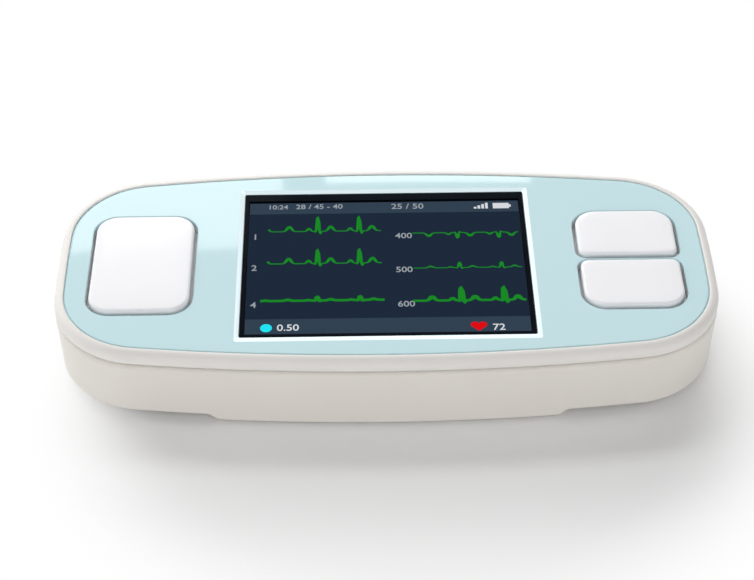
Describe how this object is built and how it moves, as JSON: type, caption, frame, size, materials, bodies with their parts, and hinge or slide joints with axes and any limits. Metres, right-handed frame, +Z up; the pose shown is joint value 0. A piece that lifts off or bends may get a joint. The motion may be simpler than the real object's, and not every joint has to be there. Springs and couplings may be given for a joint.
{
  "type": "ecg home monitor",
  "caption": "Flat hand-held heart monitor: two-shell case with bowed sides, light blue front panel, colour screen, raised press keys at both ends, underside pedestal with sliding battery door.",
  "frame": {"origin": "middle of the rubber feet's lower faces, on the table and under the middle of the case", "axes": "+X along the case towards the pair of small keys, +Y away from the user towards the edge with the sockets, +Z up out of the screen"},
  "size_m": [0.1656, 0.0746, 0.0232],
  "materials": {
    "white_shell": "warm white ABS, fine satin spark texture",
    "panel_blue": "light blue glossy polycarbonate panel",
    "window_lens": "clear scratch-resistant acrylic over a lit display, dark border printed behind",
    "key_white": "white semi-gloss ABS",
    "rubber_grey": "grey rubber",
    "steel": "nickel-plated steel",
    "black_foam": "black closed-cell foam",
    "display_cell": "liquid crystal cell behind polarising film",
    "diffuser_white": "white light guide and diffuser films",
    "black_plastic": "black glass-filled nylon",
    "flex_amber": "amber polyimide film",
    "ivory_plastic": "ivory high-temperature nylon",
    "silicone": "translucent grey silicone rubber",
    "carbon": "carbon-loaded silicone",
    "board_green": "glass-fibre board, green solder mask",
    "chip_black": "black moulding compound",
    "radio_blue": "blue module board under a shield",
    "capacitor_tan": "sintered ceramic",
    "gold": "gold-plated phosphor bronze",
    "battery_grey": "shrink-wrapped lithium-ion pack"
  },
  "bodies": {
    "case": {"top_housing": "white_shell", "bottom_housing": "white_shell", "fascia_panel": "panel_blue", "screen_window": "window_lens", "rubber_feet": "rubber_grey", "housing_screws": "steel", "display_gasket": "black_foam", "display_frame": "steel", "display_glass": "display_cell", "display_backlight": "diffuser_white", "display_bracket": "black_plastic", "display_flex": "flex_amber", "flex_connector": "ivory_plastic", "measure_keypad": "silicone", "scroll_keypad": "silicone", "measure_dome": "silicone", "up_dome": "silicone", "down_dome": "silicone", "main_board": "board_green", "board_screws": "steel", "processor_chip": "chip_black", "memory_chip": "chip_black", "front_end_chip": "chip_black", "shield_can": "steel", "charger_chip": "chip_black", "radio_module": "radio_blue", "crystal": "steel", "capacitors": "capacitor_tan", "usb_socket": "steel", "usb_tongue": "black_plastic", "lead_jack": "black_plastic", "jack_contacts": "gold", "buzzer": "black_plastic", "battery_pack": "battery_grey", "contact_block": "black_plastic", "contact_springs": "gold"},
    "measure_button": {"measure_key": "key_white", "measure_contact": "carbon"},
    "up_button": {"up_key": "key_white", "up_contact": "carbon"},
    "down_button": {"down_key": "key_white", "down_contact": "carbon"},
    "door": {"battery_door": "white_shell"}
  },
  "joints": [
    {"name": "measure_press", "type": "slide", "parent": "case", "child": "measure_button", "axis": [0, 0, -1], "range_m": [0, 0.0008], "stiffness_N_per_m": 800, "springref_m": -0.0006, "deforming": ["measure_dome"]},
    {"name": "up_press", "type": "slide", "parent": "case", "child": "up_button", "axis": [0, 0, -1], "range_m": [0, 0.0008], "stiffness_N_per_m": 800, "springref_m": -0.0006, "deforming": ["up_dome"]},
    {"name": "down_press", "type": "slide", "parent": "case", "child": "down_button", "axis": [0, 0, -1], "range_m": [0, 0.0008], "stiffness_N_per_m": 800, "springref_m": -0.0006, "deforming": ["down_dome"]},
    {"name": "battery_door_slide", "type": "slide", "parent": "case", "child": "door", "axis": [0, 1, 0], "range_m": [0, 0.045]}
  ]
}
